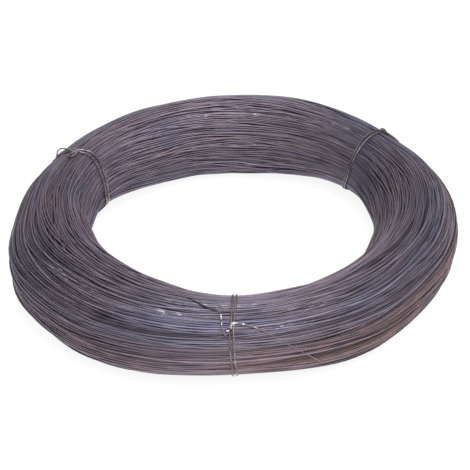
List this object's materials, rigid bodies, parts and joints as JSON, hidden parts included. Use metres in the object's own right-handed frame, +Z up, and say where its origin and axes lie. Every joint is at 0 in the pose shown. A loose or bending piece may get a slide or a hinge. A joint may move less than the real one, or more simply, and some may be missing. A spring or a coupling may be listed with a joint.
{
  "type": "coil of annealed wire",
  "caption": "Round coil of dark annealed steel wire lying flat, many turns bundled round an open bore and held by doubled wire ties.",
  "frame": {"origin": "on the coil's axis, at the level of the floor that the coil lies on", "axes": "+Z up along the coil's axis, -Y towards the front tie, +X to the right seen from the front tie"},
  "size_m": [0.4541, 0.4416, 0.0896],
  "materials": {
    "annealed_wire": "dark blue-grey annealing scale with a dull oily sheen and light rust",
    "tie_wire": "dark annealing scale, rubbed brighter where it is bent"
  },
  "bodies": {
    "root": {"wire_coil": "annealed_wire", "front_tie": "tie_wire", "right_tie": "tie_wire", "left_tie": "tie_wire"}
  },
  "joints": []
}
